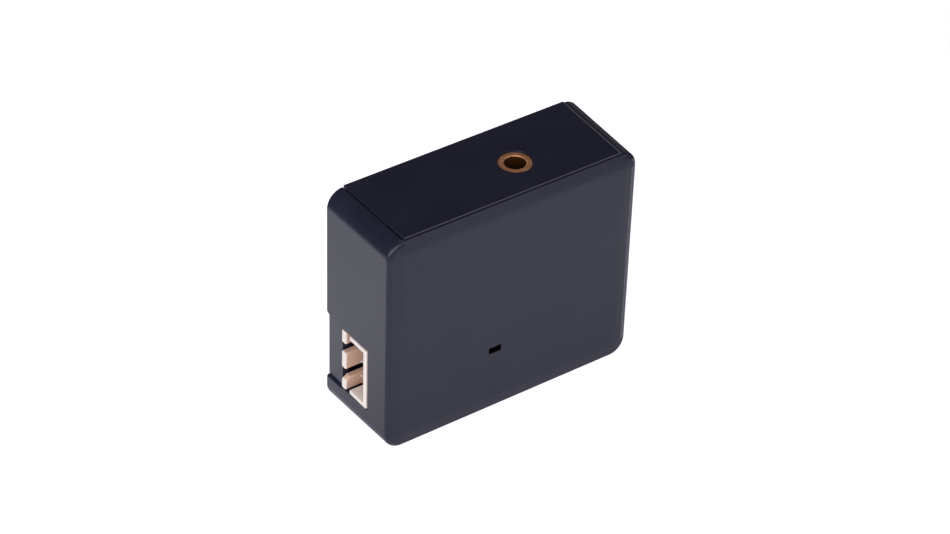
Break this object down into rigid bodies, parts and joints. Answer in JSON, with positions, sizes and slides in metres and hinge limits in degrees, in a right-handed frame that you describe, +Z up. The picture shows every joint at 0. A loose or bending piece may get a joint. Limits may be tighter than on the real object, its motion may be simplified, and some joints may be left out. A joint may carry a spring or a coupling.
{
  "type": "wireless audio receiver",
  "caption": "Small dark moulded box that receives wireless audio, standing on a long edge, with a round audio jack in its top and a cream plug header in its side.",
  "frame": {"origin": "bottom centre of the box around the case, on the surface it stands on", "axes": "+X to the right seen from the front, +Y from the front face to the back, +Z up towards the jack"},
  "size_m": [0.051, 0.0174, 0.0436],
  "materials": {
    "case_front": "fine matte moulded, dark blue-grey",
    "case_rear": "fine matte moulded, dark blue-grey",
    "board": "solder-masked glass laminate, green",
    "screw_steel": "zinc plate",
    "header_nylon": "cream nylon, satin",
    "pin_tin": "tin plate, bright",
    "jack_brass": "turned, copper-toned",
    "jack_black": "satin black",
    "leaf_bronze": "spring bronze strip",
    "terminal_tin": "tin plate",
    "module_board": "solder-masked laminate, blue",
    "shield_can": "nickel silver, drawn",
    "chip_black": "moulded epoxy",
    "capacitor_base": "moulded base",
    "capacitor_can": "drawn can",
    "light_clear": "clear lens"
  },
  "bodies": {
    "case": {"front_shell": "case_front", "rear_cover": "case_rear", "circuit_board": "board", "board_screw_1": "screw_steel", "board_screw_2": "screw_steel", "board_screw_3": "screw_steel", "board_screw_4": "screw_steel", "plug_header": "header_nylon", "header_pin_1": "pin_tin", "header_pin_2": "pin_tin", "header_pin_3": "pin_tin", "jack_barrel": "jack_brass", "jack_housing": "jack_black", "jack_sleeve_terminal": "terminal_tin", "wireless_module_board": "module_board", "module_shield_can": "shield_can", "audio_chip": "chip_black", "voltage_regulator": "chip_black", "capacitor_base_1": "capacitor_base", "capacitor_base_2": "capacitor_base", "capacitor_base_3": "capacitor_base", "capacitor_base_4": "capacitor_base", "capacitor_can_1": "capacitor_can", "capacitor_can_2": "capacitor_can", "capacitor_can_3": "capacitor_can", "capacitor_can_4": "capacitor_can", "status_light": "light_clear"},
    "tip_leaf": {"jack_tip_contact": "leaf_bronze"},
    "ring_leaf": {"jack_ring_contact": "leaf_bronze"}
  },
  "joints": [
    {"name": "tip_leaf_flex", "type": "hinge", "parent": "case", "child": "tip_leaf", "pos_m": [0.00285, -0.00095, 0.03515], "axis": [0, 1, 0], "range_deg": [0, 7], "stiffness_Nm_per_rad": 0.07},
    {"name": "ring_leaf_flex", "type": "hinge", "parent": "case", "child": "ring_leaf", "pos_m": [0.00775, -0.00095, 0.02875], "axis": [0, 1, 0], "range_deg": [0, 7], "stiffness_Nm_per_rad": 0.07}
  ]
}
